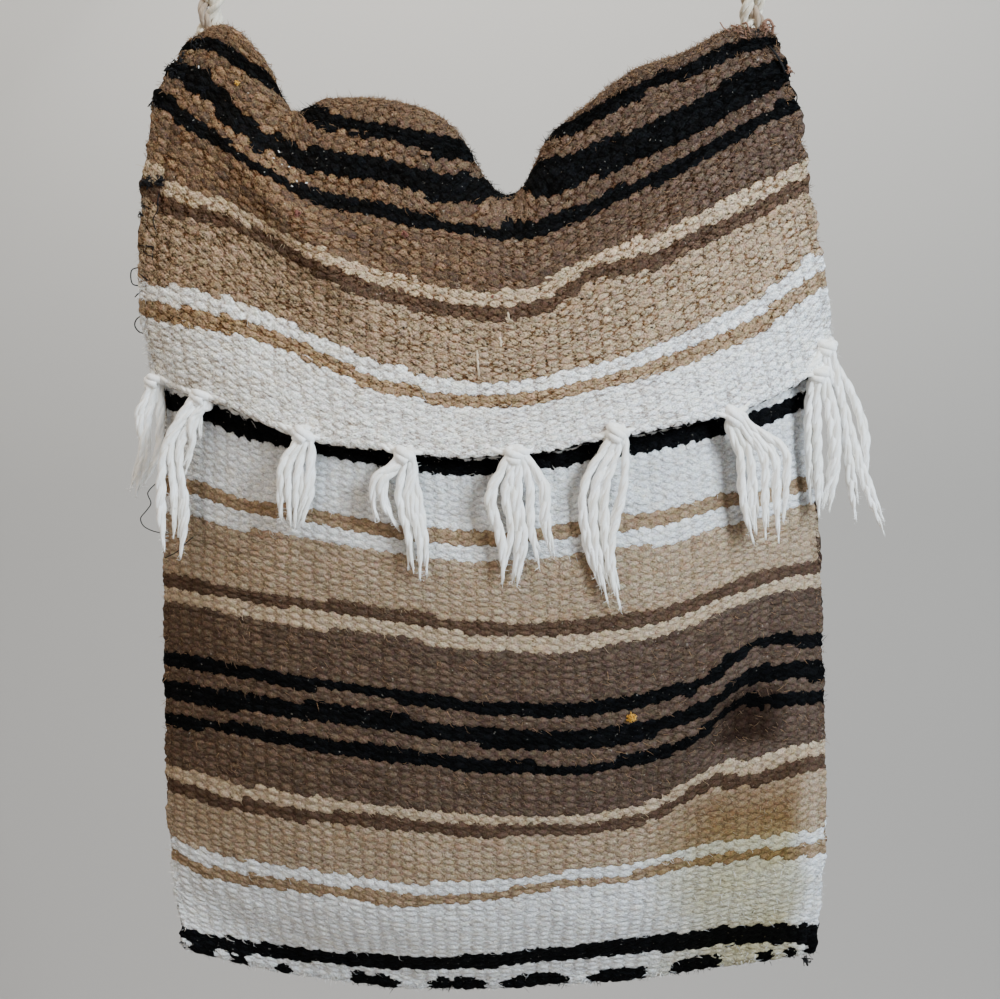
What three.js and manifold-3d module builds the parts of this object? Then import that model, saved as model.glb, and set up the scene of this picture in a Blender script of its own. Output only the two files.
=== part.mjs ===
// A folk wool shoulder bag: one woven strip folded into a full pouch with a fringed flap, on a cord strap.
// Millimetres, +Z up. The front faces -Y, and the bag hangs from the origin, under the strap's top.
import * as THREE from 'three';
import { mergeVertices } from 'three/addons/utils/BufferGeometryUtils.js';
import Module from 'manifold-3d';

// Driving sizes
const HALF_WIDTH = 150;       // from the bag's middle to its side seams
const CLOTH = 2.8;            // thickness of the weft-faced wool cloth
const GAP = 0.3;              // clearance kept between neighbouring pieces
const STRAP = 12;             // diameter of the braided strap
const HANG_DROP = 294;        // from the hang point down to the bag's top corners

// Sizes that follow
const SEAM = (CLOTH + GAP) / 2;             // from the seam plane to the middle of the front or back cloth
const FLAP_RIM = SEAM + CLOTH + GAP + 0.4;  // the same to the middle of the flap along its side edges

// Cloth shape
const FULL = 51;              // how far the full front stands forward of the side seams
const SLACK = 13;             // how far the back stands behind them
const ROLL = 18;              // height of the roll over the top, down to where the back panel starts
const MOUTH_RIM = 26;         // mouth edge below the corners at the sides
const MOUTH_SAG = 76;         // further sag of the mouth edge at the middle

// Sections across the bag from its left edge to its right edge. Heights are measured down from the corners:
// ridge is the top fold, black and white are woven stripes on the flap, hem is the flap's fringed edge, and
// upper and middle are stripes on the front panel. lean is how far the top fold stands forward.
const SECTIONS = table(
  ['place', 'across', 'ridge', 'black', 'white', 'hem', 'upper', 'middle', 'bottom', 'lean'],
  ['left edge', 0, 6, 33, 115, 150, 160, 295, 421, 0],
  ['left corner', 0.06, 0, 42, 121, 158, 164, 294, 426, 2],
  ['left slope', 0.13, 16, 53, 128, 163, 171, 295, 431, 5],
  ['dip', 0.17, 36, 61, 133, 168, 174, 296, 433, 2],
  ['hump start', 0.24, 32, 73, 140, 176, 178, 298, 437, 7],
  ['hump top', 0.36, 34, 81, 150, 180, 184, 301, 441, 8],
  ['hump end', 0.45, 44, 85, 154, 183, 187, 304, 441, 5],
  ['valley start', 0.5, 64, 87, 155, 182, 187, 305, 441, 0],
  ['valley', 0.535, 72, 89, 155, 181, 187, 305, 440, -3],
  ['valley end', 0.575, 68, 90, 154, 180, 185, 306, 439, -1],
  ['right rise', 0.61, 50, 88, 152, 178, 184, 306, 439, 2],
  ['right hump', 0.66, 38, 82, 148, 175, 180, 305, 438, 4],
  ['right slope', 0.75, 21, 68, 140, 170, 177, 301, 435, 4],
  ['right fold', 0.85, 11, 53, 127, 164, 171, 290, 430, 3],
  ['right corner', 0.93, 1, 41, 116, 154, 166, 285, 427, 1],
  ['right edge', 1, 3, 33, 104, 142, 159, 287, 423, 0],
);

// Levels along each panel. along is the distance woven so far. rim and belly say how far the cloth stands in
// front of the seam plane at its side edges, and further at the middle. left and right say how far those
// edges stand outside the half width. below gives the level's height under the corners in one section.
const LEVEL_COLUMNS = ['level', 'along', 'rim', 'belly', 'left', 'right', 'below'];
const FLAP_LEVELS = table(
  LEVEL_COLUMNS,
  ['hem', 0, FLAP_RIM, FULL + 3, 3, 3, (section) => section.hem],
  ['white', 36, FLAP_RIM, FULL - 11, 7, -4, (section) => section.white],
  ['black', 110, FLAP_RIM, 14, -1, -17, (section) => section.black],
  ['ridge', 140, SEAM, 0, -17, -26, (section) => section.ridge + CLOTH / 2],
  ['roll', 160, -SEAM, -6, -14, -24, (section) => section.ridge + ROLL],
  ['back upper', 255, -SEAM, -SLACK, -3, -9, (section) => 95 + section.ridge / 2],
);
const BACK_LEVELS = [
  ...FLAP_LEVELS.slice(3),
  ...table(
    LEVEL_COLUMNS,
    ['back middle', 430, -SEAM, -SLACK, 1, 2, (section) => section.middle],
    ['back low', 515, -SEAM, -9, 1, 5, (section) => section.bottom - 48],
    ['back fold', 565, -SEAM, 0, -4, 2, (section) => section.bottom],
  ),
];
const FRONT_LEVELS = table(
  LEVEL_COLUMNS,
  ['front fold', 0, SEAM, 0, -4, 2, (section) => section.bottom],
  ['front low', 55, SEAM, 32, 1, 5, (section) => section.bottom - 50],
  ['front middle', 135, SEAM, FULL, 1, 2, (section) => section.middle],
  ['front upper', 255, SEAM, FULL - 2, -3, -8, (section) => section.upper],
  ['mouth', 350, SEAM, 6, -9, -18, mouthBelow],
);

// Soft creases in the cloth: each runs straight between two places, given as a share of the width and a
// height below the corners, with its half width and how far it stands proud.
const CREASES = table(
  ['name', 'on', 'fromAcross', 'fromBelow', 'toAcross', 'toBelow', 'width', 'proud'],
  ['left drag', 'flap', 0.12, 50, 0.34, 128, 13, 5],
  ['left hollow', 'flap', 0.1, 85, 0.26, 150, 16, -4],
  ['right drag', 'flap', 0.9, 62, 0.62, 118, 14, 4],
  ['tuck', 'front', 0.8, 318, 0.9, 268, 11, 5],
  ['tuck hollow', 'front', 0.87, 325, 0.95, 262, 12, -6],
  ['low swell', 'front', 0.22, 408, 0.5, 360, 16, 4],
);

// Knots of the fringe along the flap's hem. across places the knot and forward brings it out from the hem.
// Each lock hangs to its own tip, given as how far it falls below the knot and how far it drifts right.
const TASSELS = table(
  ['across', 'forward', 'locks'],
  [0, 0.5, [[50, -9], [54, -6]]],
  [0.075, 1.5, [[64, -16], [62, -11], [69, -7]]],
  [0.243, 1, [[38, -8], [40, -2], [35, 4]]],
  [0.386, 0.5, [[27, -9], [51, 4], [46, 9]]],
  [0.535, 0.5, [[54, -5], [57, 0], [46, 12]]],
  [0.661, 0.5, [[34, -13], [68, -5], [72, 0]]],
  [0.833, 1, [[54, 8], [53, 15], [46, 19]]],
  [0.948, 2, [[65, 3], [64, 8]]],
  [1, 0, [[75, 12], [78, 23]]],
);
const KNOT = 5.6;             // knot radius
const LOCK = 3.4;             // radius of a lock of fringe
const LOCK_SIDES = 6;
const LOCK_STEPS = 4;

// The strap's route, chosen by hand: up behind the left corner, over the hang point and down behind the
// right corner. Columns are right, back and up from the middle of the corners.
const STRAP_ROUTE = [
  [-127, 11.8, -32], [-127, 11.7, -16], [-126.5, 11.3, 0], [-124, 10, 18], [-118, 8, 45], [-108, 5, 90],
  [-97, 3, 140], [-86, 1, 190], [-74, 0, 235], [-56, 0, 270], [-30, 0, 293], [0, 0, 300],
  [30, 0, 293], [56, 0, 270], [74, 0, 235], [86, 1, 190], [96, 3, 140], [105, 5, 90],
  [113, 8, 45], [115, 10, 18], [115.5, 11.3, 0], [115.5, 11.7, -16], [115, 11.8, -32],
];
const STRAP_SIDES = 10;
const STRAP_STEPS = 34;

// Cloth grid
const COLUMNS = 30;
const FLAP_ROWS = 17;
const BACK_ROWS = 21;
const FRONT_ROWS = 19;

const wasm = await Module();
wasm.setup();

// Rows of a table as objects with named columns
function table(columns, ...rows) {
  return rows.map((row) => Object.fromEntries(columns.map((column, i) => [column, row[i]])));
}

// Even steps from one place to another
function steps(from, to, count) {
  return Array.from({ length: count + 1 }, (_, i) => from + ((to - from) * i) / count);
}

// Slope of a smooth curve through values given at rising places
function slopeAt(places, values, i) {
  const before = Math.max(i - 1, 0);
  const after = Math.min(i + 1, places.length - 1);
  return (values[after] - values[before]) / (places[after] - places[before]);
}

// Height of that curve anywhere
function smooth(places, values, where) {
  let i = 0;
  while (i < places.length - 2 && where > places[i + 1]) i += 1;
  const span = places[i + 1] - places[i];
  const t = (where - places[i]) / span;
  const rise = values[i + 1] - values[i];
  const start = slopeAt(places, values, i) * span;
  const end = slopeAt(places, values, i + 1) * span;
  return values[i] + t * (start + t * (3 * rise - 2 * start - end + t * (start + end - 2 * rise)));
}

function sectionAt(across) {
  const places = SECTIONS.map((row) => row.across);
  const section = { across };
  for (const column of ['ridge', 'black', 'white', 'hem', 'upper', 'middle', 'bottom', 'lean']) {
    section[column] = smooth(places, SECTIONS.map((row) => row[column]), across);
  }
  return section;
}

function mouthBelow(section) {
  return MOUTH_RIM + MOUTH_SAG * (1 - (2 * section.across - 1) ** 2);
}

// How full the pouch is across its width: 0 at the side seams and 1 at the middle
function fullness(across) {
  return Math.max(1 - Math.abs(2 * across - 1) ** 2.4, 0) ** 0.9;
}

// How far the creases lift the cloth at a place
function creaseLift(on, across, x, z) {
  let lift = 0;
  for (const crease of CREASES.filter((row) => row.on === on)) {
    const start = new THREE.Vector2((2 * crease.fromAcross - 1) * HALF_WIDTH, -crease.fromBelow);
    const line = new THREE.Vector2((2 * crease.toAcross - 1) * HALF_WIDTH, -crease.toBelow).sub(start);
    const offset = new THREE.Vector2(x, z).sub(start);
    const along = THREE.MathUtils.clamp(offset.dot(line) / line.lengthSq(), 0, 1);
    const away = offset.sub(line.multiplyScalar(along)).length() / crease.width;
    lift += crease.proud * Math.exp(-away * away) * Math.sin(Math.PI * (0.15 + 0.7 * along));
  }
  return lift * Math.min(fullness(across) * 2, 1);
}

// A point on the middle of a panel's cloth
function clothPoint(levels, on, across, along) {
  const section = sectionAt(across);
  const places = levels.map((row) => row.along);
  const straight = (2 * across - 1) * HALF_WIDTH;
  const sides = levels.map((row) => straight + across * row.right - (1 - across) * row.left);
  const heights = levels.map((row) => -row.below(section));
  const depths = levels.map((row) => {
    const lean = row.level === 'ridge' ? section.lean : 0;
    return -row.rim - row.belly * fullness(across) - lean;
  });
  const x = smooth(places, sides, along);
  const z = smooth(places, heights, along);
  return new THREE.Vector3(x, smooth(places, depths, along) - creaseLift(on, across, x, z), z);
}

// The cloth's normal at a point, facing out of the bag
function clothNormal(levels, on, across, along) {
  const acrossStep = 0.004;
  const alongStep = 1.5;
  const first = levels[0].along;
  const point = (a, b) => clothPoint(levels, on, THREE.MathUtils.clamp(a, 0, 1), Math.max(b, first));
  const acrossWay = point(across + acrossStep, along).sub(point(across - acrossStep, along));
  const alongWay = point(across, along + alongStep).sub(point(across, along - alongStep));
  return acrossWay.cross(alongWay).normalize();
}

// A closed wall of cloth over a grid: an outer skin, an inner skin and a rim that joins them
function clothWall(levels, on, from, to, rows) {
  const wide = COLUMNS + 1;
  const skin = wide * (rows + 1);
  const positions = [];
  for (const side of [0.5, -0.5]) {
    for (const along of steps(from, to, rows)) {
      for (const across of steps(0, 1, COLUMNS)) {
        const normal = clothNormal(levels, on, across, along);
        const point = clothPoint(levels, on, across, along).addScaledVector(normal, side * CLOTH);
        positions.push(point.x, point.y, point.z);
      }
    }
  }
  const index = [];
  const quad = (a, b, c, d) => index.push(a, b, c, a, c, d);
  for (let row = 0; row < rows; row += 1) {
    for (let column = 0; column < COLUMNS; column += 1) {
      const a = row * wide + column;
      quad(a, a + 1, a + 1 + wide, a + wide);
      quad(a + skin, a + skin + wide, a + skin + wide + 1, a + skin + 1);
    }
  }
  const last = rows * wide;
  for (let a = 0; a < COLUMNS; a += 1) {
    quad(a, a + skin, a + 1 + skin, a + 1);
    quad(last + a, last + a + 1, last + a + 1 + skin, last + a + skin);
  }
  for (let row = 0; row < rows; row += 1) {
    const a = row * wide;
    const b = a + COLUMNS;
    quad(a, a + wide, a + wide + skin, a + skin);
    quad(b, b + skin, b + wide + skin, b + wide);
  }
  const geometry = new THREE.BufferGeometry();
  geometry.setAttribute('position', new THREE.Float32BufferAttribute(positions, 3));
  geometry.setIndex(index);
  geometry.computeVertexNormals();
  return geometry;
}

// A round tube through points
function tube(points, radius, sides, count) {
  const turns = steps(0, 2 * Math.PI, sides).slice(0, -1);
  const rim = turns.map((turn) => new THREE.Vector2(radius * Math.cos(turn), radius * Math.sin(turn)));
  const extrudePath = new THREE.CatmullRomCurve3(points);
  const settings = { steps: count, bevelEnabled: false, extrudePath };
  return new THREE.ExtrudeGeometry(new THREE.Shape(rim), settings);
}

// Closed meshes to solids that can be joined, and back
function toSolid(geometry) {
  geometry.deleteAttribute('normal');
  geometry.deleteAttribute('uv');
  const merged = mergeVertices(geometry, 1e-4);
  const vertProperties = new Float32Array(merged.attributes.position.array);
  const triVerts = new Uint32Array(merged.index.array);
  return new wasm.Manifold(new wasm.Mesh({ numProp: 3, vertProperties, triVerts }));
}

function toGeometry(solid) {
  const mesh = solid.getMesh();
  const geometry = new THREE.BufferGeometry();
  geometry.setAttribute('position', new THREE.Float32BufferAttribute(mesh.vertProperties, 3));
  geometry.setIndex(Array.from(mesh.triVerts));
  geometry.computeVertexNormals();
  return geometry;
}

// One knotted tassel: a knot that carries on from the hem, with its locks fused to it
function tassel(row) {
  const hem = clothPoint(FLAP_LEVELS, 'flap', row.across, 0);
  const inward = row.across < 0.5 ? 0.01 : -0.01;
  const beside = clothPoint(FLAP_LEVELS, 'flap', row.across + inward, 0);
  const hemWay = row.across < 0.5 ? beside.sub(hem) : hem.clone().sub(beside);
  const outward = clothNormal(FLAP_LEVELS, 'flap', row.across, 0).cross(hemWay).normalize().negate();
  const place = hem.addScaledVector(outward, KNOT + 1.5 * GAP);
  place.y -= row.forward;
  const knot = new THREE.SphereGeometry(KNOT, 10, 8);
  knot.translate(place.x, place.y, place.z);
  let solid = toSolid(knot);
  row.locks.forEach(([fall, drift], i) => {
    const apart = (i - (row.locks.length - 1) / 2) * LOCK * 0.9;
    const points = steps(0, 1, 3).map((down) => new THREE.Vector3(
      place.x + apart * (1 - down) + drift * down ** 0.8,
      place.y - 1.5 * down,
      place.z - fall * down,
    ));
    solid = solid.add(toSolid(tube(points, LOCK, LOCK_SIDES, LOCK_STEPS)));
  });
  return toGeometry(solid);
}

// Materials
const cloth = new THREE.MeshStandardMaterial({ color: 0x9a7f66, roughness: 0.95, metalness: 0 });
const warpYarn = new THREE.MeshStandardMaterial({ color: 0xdcd8cc, roughness: 0.9, metalness: 0 });
const strapYarn = new THREE.MeshStandardMaterial({ color: 0xcfc4b0, roughness: 0.9, metalness: 0 });

const bag = new THREE.Group();
const fromCorners = new THREE.Group();
fromCorners.position.z = -HANG_DROP;
bag.add(fromCorners);

function add(name, geometry, material) {
  const mesh = new THREE.Mesh(geometry, material);
  mesh.name = name;
  fromCorners.add(mesh);
}

// The folded cloth: the flap with its roll over the top, the back panel and the front panel
const rollEnd = FLAP_LEVELS[4].along;
add('flap', clothWall(FLAP_LEVELS, 'flap', 0, rollEnd - GAP, FLAP_ROWS), cloth);
add('back_panel', clothWall(BACK_LEVELS, 'back', rollEnd + GAP, BACK_LEVELS.at(-1).along, BACK_ROWS), cloth);
add('front_panel', clothWall(FRONT_LEVELS, 'front', 0, FRONT_LEVELS.at(-1).along, FRONT_ROWS), cloth);

// The fringe
TASSELS.forEach((row, i) => add(`tassel_${i + 1}`, tassel(row), warpYarn));

// The strap
const strapPoints = STRAP_ROUTE.map(([right, back, up]) => new THREE.Vector3(right, back, up));
add('strap', tube(strapPoints, STRAP / 2, STRAP_SIDES, STRAP_STEPS), strapYarn);

export default bag;
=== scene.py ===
"""A folk wool shoulder bag: a striped, weft-faced strip folded into a full pouch with a fringed flap,
and hung by a braided strap. Tables are in millimetres, measured from the middle of the bag's top corners,
with the front facing -Y. Meshes are made in metres below the hang point."""
import math

import bpy
import numpy as np
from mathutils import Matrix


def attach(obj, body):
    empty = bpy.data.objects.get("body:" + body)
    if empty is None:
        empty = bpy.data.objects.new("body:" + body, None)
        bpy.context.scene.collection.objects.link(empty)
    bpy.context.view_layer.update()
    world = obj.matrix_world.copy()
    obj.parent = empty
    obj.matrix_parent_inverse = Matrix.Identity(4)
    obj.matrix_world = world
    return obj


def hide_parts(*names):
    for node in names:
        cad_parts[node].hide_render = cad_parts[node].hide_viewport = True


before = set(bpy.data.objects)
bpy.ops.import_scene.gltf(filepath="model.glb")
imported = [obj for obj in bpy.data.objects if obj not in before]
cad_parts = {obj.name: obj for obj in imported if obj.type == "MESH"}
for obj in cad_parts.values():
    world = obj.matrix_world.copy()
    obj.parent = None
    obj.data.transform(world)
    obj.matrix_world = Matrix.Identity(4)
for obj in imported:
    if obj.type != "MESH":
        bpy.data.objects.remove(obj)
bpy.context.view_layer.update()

# Driving sizes
HALF_WIDTH = 150.0            # from the bag's middle to its side seams
CLOTH = 2.8                   # thickness of the cloth
GAP = 0.3                     # clearance between neighbouring layers
HANG_DROP = 294.0             # from the hang point down to the top corners
STRAP = 12.0                  # width of the braided strap
WARP = 2.94                   # spacing of the hidden warps
PICK = 1.6                    # spacing of the weft picks
HALF_REPEAT = 133.0           # the stripes mirror at 0 and at this woven distance
RELIEF = 0.65                 # how far the beads of weft stand out
SUNK = 0.45                   # how far every second bead is drawn in

# Sizes that follow
SEAM = (CLOTH + GAP) / 2
FLAP_RIM = SEAM + CLOTH + GAP + 0.4
WARPS = 2 * round(HALF_WIDTH / WARP)
EDGE = CLOTH / 4 / HALF_WIDTH  # share of the width that each rolled edge takes up
PROUD_BEAD = {"warp": 0, "pick": 1, "top": 1.0, "long": 0.5, "tall": 0.5}
SUNK_BEAD = {"warp": 1, "pick": 0, "top": 1 - SUNK, "long": 0.46, "tall": 0.38}

# Cloth shape
FULL = 51.0                   # how far the pouch's middle stands forward of its sides
SLACK = 13.0                  # how far the back's middle stands behind its sides
ROLL = 18.0                   # how far the roll over the top comes down behind
MOUTH_RIM = 26.0              # how far the mouth lies below the corners at its sides
MOUTH_SAG = 76.0              # how much lower it lies at its middle
FOLD_LIFT = 2.5               # the bottom fold's round edge starts this far above the bag's lowest line


def table(names, *rows):
    """Columns of a table by name."""
    return {name: np.array(column, float) for name, column in zip(names.split(), zip(*rows))}


def records(names, *rows):
    """Rows of a table, each with its columns by name."""
    return [dict(zip(names.split(), row)) for row in rows]


# Sections across the bag. Heights are measured down from the corners, lean is how far the top fold stands
# forward, and over is the woven distance at the top fold.
SECTIONS = table(
    "across ridge black white hem upper middle bottom lean over",
    (0, 6, 33, 115, 150, 160, 295, 421, 0, 152),
    (0.06, 0, 42, 121, 158, 164, 294, 426, 2, 157),
    (0.13, 16, 53, 128, 163, 171, 295, 431, 5, 154),
    (0.17, 36, 61, 133, 168, 174, 296, 433, 2, 141),
    (0.24, 32, 73, 140, 176, 178, 298, 437, 7, 154),
    (0.36, 34, 81, 150, 180, 184, 301, 441, 8, 157),
    (0.45, 44, 85, 154, 183, 187, 304, 441, 5, 152),
    (0.5, 64, 87, 155, 182, 187, 305, 441, 0, 133),
    (0.535, 72, 89, 155, 181, 187, 305, 440, -3, 129),
    (0.575, 68, 90, 154, 180, 185, 306, 439, -1, 130),
    (0.61, 50, 88, 152, 178, 184, 306, 439, 2, 143),
    (0.66, 38, 82, 148, 175, 180, 305, 438, 4, 152),
    (0.75, 21, 68, 140, 170, 177, 301, 435, 4, 157),
    (0.85, 11, 53, 127, 164, 171, 290, 430, 3, 157),
    (0.93, 1, 41, 116, 154, 166, 285, 427, 1, 157),
    (1, 3, 33, 104, 142, 159, 287, 423, 0, 152),
)

# Soft creases: each runs straight between two places, with its half width and how far it stands proud
CREASE_COLUMNS = "from_across from_below to_across to_below width proud"
FLAP_CREASES = records(
    CREASE_COLUMNS,
    (0.12, 50, 0.34, 128, 9, 7.5),
    (0.1, 85, 0.26, 150, 16, -4),
    (0.9, 62, 0.62, 118, 14, 4),
)
FRONT_CREASES = records(
    CREASE_COLUMNS,
    (0.76, 318, 0.86, 268, 9, 6),
    (0.83, 325, 0.92, 262, 11, -6),
    (0.22, 408, 0.5, 360, 16, 4),
)


def smooth(places, values, where):
    """A smooth curve through values at rising places, read at one place or at many. Places and values may
    have a column for each place that is read."""
    where = np.asarray(where, float)
    spot = where.ravel()
    places = np.array([np.broadcast_to(row, where.shape).ravel() for row in places], float)
    values = np.array([np.broadcast_to(row, where.shape).ravel() for row in values], float)
    last = len(places) - 1
    i = np.sum(spot > places[1:-1], axis=0)

    def taken(rows, j):
        return np.take_along_axis(rows, j[None], 0)[0]

    def slope(j):
        before = np.maximum(j - 1, 0)
        after = np.minimum(j + 1, last)
        return (taken(values, after) - taken(values, before)) / (taken(places, after) - taken(places, before))

    start = taken(places, i)
    span = taken(places, i + 1) - start
    low = taken(values, i)
    rise = taken(values, i + 1) - low
    t = (spot - start) / span
    a = slope(i) * span
    b = slope(i + 1) * span
    return (low + t * (a + t * (3 * rise - 2 * a - b + t * (a + b - 2 * rise)))).reshape(where.shape)


def section_at(across):
    """The section's heights at places across the bag."""
    at = {name: smooth(SECTIONS["across"], SECTIONS[name], across) for name in SECTIONS}
    at["across"] = across
    at["bottom"] = at["bottom"] - FOLD_LIFT
    return at


def fullness(across):
    """How full the pouch is: 0 at the side seams and 1 at the middle."""
    return np.maximum(1 - np.abs(2 * across - 1) ** 2.4, 0) ** 0.9


def mouth_below(at):
    return MOUTH_RIM + MOUTH_SAG * (1 - (2 * at["across"] - 1) ** 2)


def back_woven(along):
    """The woven distance on the back, which reaches the fourth mirror line at the bottom fold."""
    share = (along - 140) / 425
    return lambda at: at["over"] + share * (4 * HALF_REPEAT - at["over"])


class Panel:
    """One length of the cloth as a surface: across runs 0 to 1 between its side edges, and along runs with
    the weaving."""

    def __init__(self, levels, creases, creases_until):
        self.levels = levels
        self.creases = creases
        self.creases_until = creases_until

    def along(self, across, woven):
        """The distance along the panel where a woven distance lies."""
        at = section_at(across)
        places = [row["woven"](at) if callable(row["woven"]) else row["woven"] for row in self.levels]
        return smooth(places, [row["along"] for row in self.levels], woven)

    def points(self, across, along):
        at = section_at(across)
        full = fullness(across)
        straight = (2 * across - 1) * HALF_WIDTH
        places = [row["along"] for row in self.levels]
        sides = [straight + across * row["right"] - (1 - across) * row["left"] for row in self.levels]
        heights = [-row["below"](at) for row in self.levels]
        depths = [-row["rim"] - row["belly"] * full - row["lean"] * at["lean"] for row in self.levels]
        x = smooth(places, sides, along)
        z = smooth(places, heights, along)
        y = smooth(places, depths, along) - self.crease_lift(full, along, x, z)
        return np.stack([x, y, z], axis=-1)

    def crease_lift(self, full, along, x, z):
        lift = np.zeros_like(x)
        for crease in self.creases:
            start_x = (2 * crease["from_across"] - 1) * HALF_WIDTH
            line_x = (2 * crease["to_across"] - 1) * HALF_WIDTH - start_x
            line_z = crease["from_below"] - crease["to_below"]
            off_x = x - start_x
            off_z = z + crease["from_below"]
            part = np.clip((off_x * line_x + off_z * line_z) / (line_x ** 2 + line_z ** 2), 0, 1)
            away = np.hypot(off_x - part * line_x, off_z - part * line_z) / crease["width"]
            lift += crease["proud"] * np.exp(-away ** 2) * np.sin(math.pi * (0.15 + 0.7 * part))
        fade = np.clip((self.creases_until - along) / 12, 0, 1)
        return lift * np.minimum(full * 2, 1) * fade

    def frames(self, across, along):
        """Points, outward normals, and unit steps across and along."""
        across_step = 0.004
        along_step = 1.0
        left = np.clip(across - across_step, 0, 1)
        right = np.clip(across + across_step, 0, 1)
        before = np.maximum(along - along_step, self.levels[0]["along"])
        sideways = unit(self.points(right, along) - self.points(left, along))
        upward = unit(self.points(across, along + along_step) - self.points(across, before))
        return self.points(across, along), unit(np.cross(sideways, upward)), sideways, upward

    def on_weave(self, across, woven):
        """The same at a woven distance."""
        return self.frames(across, self.along(across, woven))


def unit(vectors):
    return vectors / np.maximum(np.linalg.norm(vectors, axis=-1, keepdims=True), 1e-9)


def run_along(path):
    """The distance along a path at each of its points."""
    return np.concatenate([[0], np.cumsum(np.linalg.norm(np.diff(path, axis=0), axis=1))])


def ways_across(way, beside):
    """Two unit ways at right angles to each given way."""
    first = unit(np.cross(way, beside))
    return first, np.cross(way, first)


def rings(first, second, sides):
    """Unit steps all round each place in a row, from its two ways across."""
    turn = 2 * math.pi * np.arange(sides) / sides
    return np.cos(turn)[None, :, None] * first[:, None] + np.sin(turn)[None, :, None] * second[:, None]


# Levels along the strip from the flap's hem over the top and down the back, and along the front from the
# bottom fold to the mouth. rim and belly say how far the cloth stands forward at its edges and further at the
# middle, left and right how far the edges stand outside the half width.
LEVEL_COLUMNS = "level along woven rim belly left right lean below"
STRIP = Panel(records(
    LEVEL_COLUMNS,
    ("hem", 0, 17, FLAP_RIM, FULL + 3, 3, 3, 0, lambda at: at["hem"]),
    ("white", 36, 52.5, FLAP_RIM, FULL - 11, 7, -4, 0, lambda at: at["white"]),
    ("black", 110, 118.5, FLAP_RIM, 14, -1, -17, 0, lambda at: at["black"]),
    ("ridge", 140, lambda at: at["over"], SEAM, 0, -17, -26, 1, lambda at: at["ridge"] + CLOTH / 2),
    ("roll", 160, back_woven(160), -SEAM, -6, -14, -24, 0, lambda at: at["ridge"] + ROLL),
    ("back upper", 255, back_woven(255), -SEAM, -SLACK, -3, -9, 0, lambda at: 95 + at["ridge"] / 2),
    ("back middle", 430, back_woven(430), -SEAM, -SLACK, 1, 2, 0, lambda at: at["middle"]),
    ("back low", 515, back_woven(515), -SEAM, -9, 1, 5, 0, lambda at: at["bottom"] - 48),
    ("back fold", 565, back_woven(565), -SEAM, 0, -4, 2, 0, lambda at: at["bottom"]),
), FLAP_CREASES, 140)
FRONT = Panel(records(
    LEVEL_COLUMNS,
    ("fold back", -4.9, -4.8, -SEAM, 0, -4, 2, 0, lambda at: at["bottom"]),
    ("fold", -2.45, -2.4, 0, 0, -4, 2, 0, lambda at: at["bottom"] + SEAM),
    ("front fold", 0, 0, SEAM, 0, -4, 2, 0, lambda at: at["bottom"]),
    ("front heel", 4, 4, SEAM, 1.6, -3.7, 2.2, 0, lambda at: at["bottom"] - 4),
    ("front low", 55, 54.5, SEAM, 32, 1, 5, 0, lambda at: at["bottom"] - 50),
    ("front middle", 135, 133, SEAM, FULL, 1, 2, 0, lambda at: at["middle"]),
    ("front upper", 255, 257.5, SEAM, FULL - 2, -3, -8, 0, lambda at: at["upper"]),
    ("mouth", 350, 352, SEAM, 6, -9, -18, 0, mouth_below),
), FRONT_CREASES, 400)


def drift(seed, x, y, reach_x, reach_y):
    """Soft random lows and highs between -1 and 1, with a reach each way."""
    grid = np.random.default_rng(seed).uniform(-1, 1, (256, 256))
    x = np.asarray(x, float) / reach_x + 512
    y = np.asarray(y, float) / reach_y + 512
    i = np.floor(x).astype(int)
    j = np.floor(y).astype(int)
    s = x - i
    t = y - j
    s = s * s * (3 - 2 * s)
    t = t * t * (3 - 2 * t)

    def corner(di, dj):
        return grid[(i + di) % 256, (j + dj) % 256]

    low = corner(0, 0) * (1 - s) + corner(1, 0) * s
    high = corner(0, 1) * (1 - s) + corner(1, 1) * s
    return low * (1 - t) + high * t


def speckle(seed, i, j):
    """One random number between 0 and 1 for each pair of whole numbers."""
    grid = np.random.default_rng(seed).uniform(0, 1, (512, 512))
    return grid[np.asarray(i).astype(int) % 512, np.asarray(j).astype(int) % 512]


# Pieces from points and faces

ASKEW = (0.31, 0.77, 0.55)    # a way that few hairs run along


def to_frame(points):
    """From millimetres below the corners to metres below the hang point."""
    return (np.asarray(points, float) - (0, 0, HANG_DROP)) * 0.001


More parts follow.
